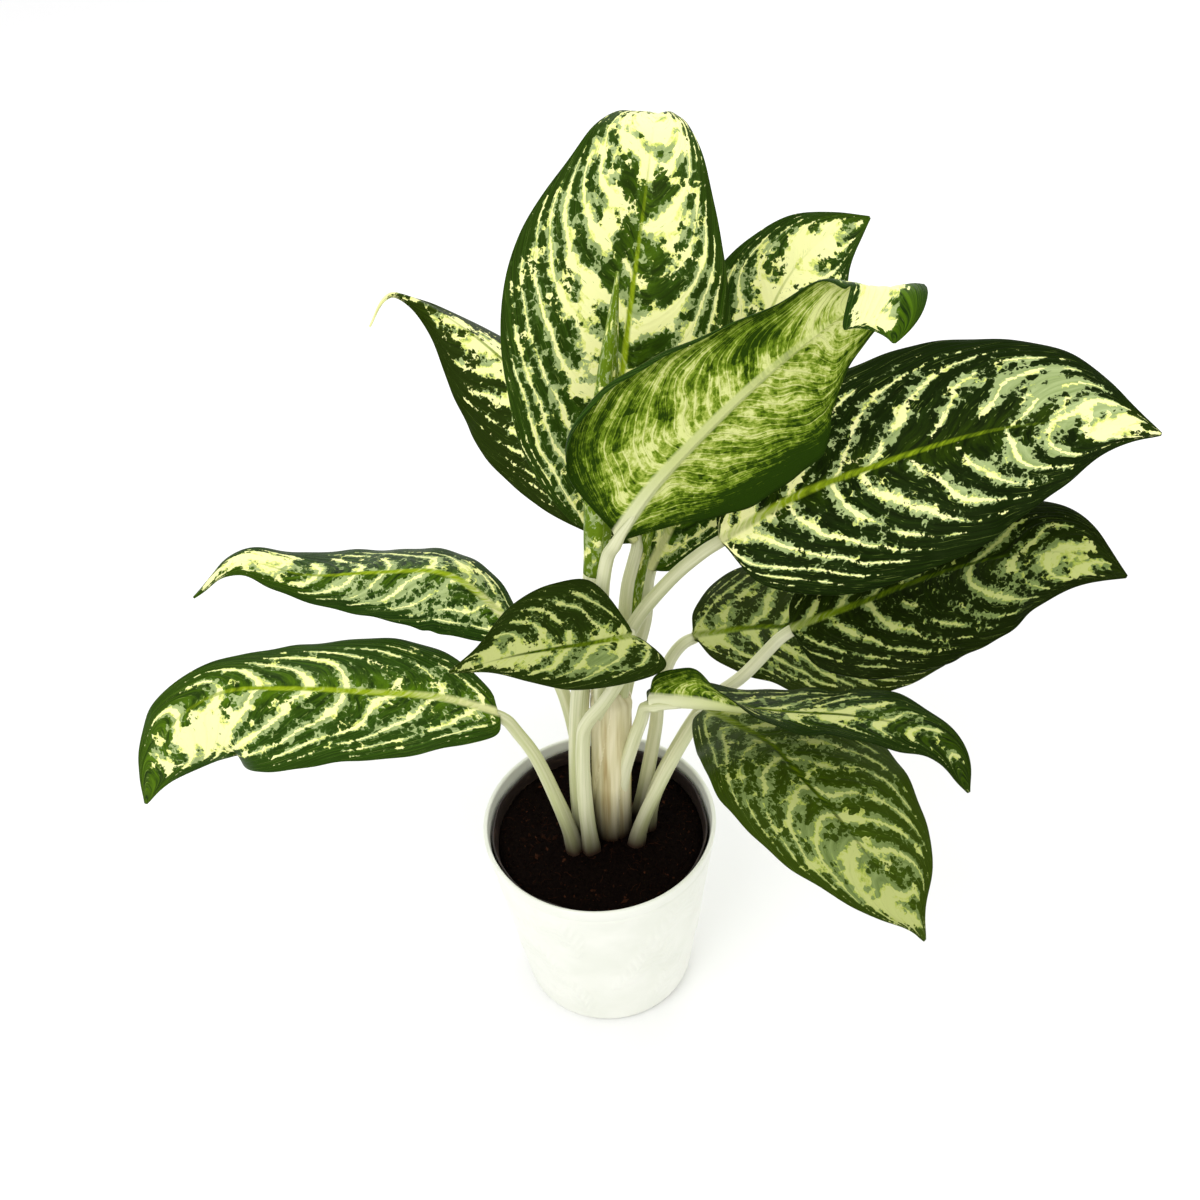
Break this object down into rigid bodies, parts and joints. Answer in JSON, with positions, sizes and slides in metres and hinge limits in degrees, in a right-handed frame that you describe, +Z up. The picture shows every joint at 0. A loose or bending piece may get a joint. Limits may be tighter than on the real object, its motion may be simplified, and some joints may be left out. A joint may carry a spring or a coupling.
{
  "type": "potted chinese evergreen",
  "caption": "Potted foliage plant: broad pointed variegated leaves on long stalks arch out from a short cane, set in dark potting soil in a tapered round pale cover pot.",
  "frame": {"origin": "centre of the cover pot's flat foot, on the surface that it stands on", "axes": "+Z up along the pot's axis, +X to the right as seen from the front, +Y away from the viewer at the front"},
  "size_m": [0.4953, 0.305, 0.4791],
  "materials": {
    "glazed_pot": "satin",
    "liner_plastic": "satin",
    "soil": "matte",
    "cane_bark": "satin",
    "leaf_tissue": "satin",
    "rolled_leaf_tissue": "satin"
  },
  "bodies": {
    "root": {"cover_pot": "glazed_pot", "nursery_pot": "liner_plastic", "potting_soil": "soil", "cane": "cane_bark", "rolled_leaf_tall": "rolled_leaf_tissue", "rolled_leaf_short": "rolled_leaf_tissue", "leaf_back_upright": "leaf_tissue", "leaf_back_left": "leaf_tissue", "leaf_back_right": "leaf_tissue", "leaf_inner_right": "leaf_tissue", "leaf_right_upper": "leaf_tissue", "leaf_right_middle": "leaf_tissue", "leaf_right_lower": "leaf_tissue", "leaf_front_small": "leaf_tissue", "leaf_left_upper": "leaf_tissue", "leaf_left_lower": "leaf_tissue", "leaf_front_right_twisted": "leaf_tissue", "leaf_front_right_low": "leaf_tissue"}
  },
  "joints": []
}
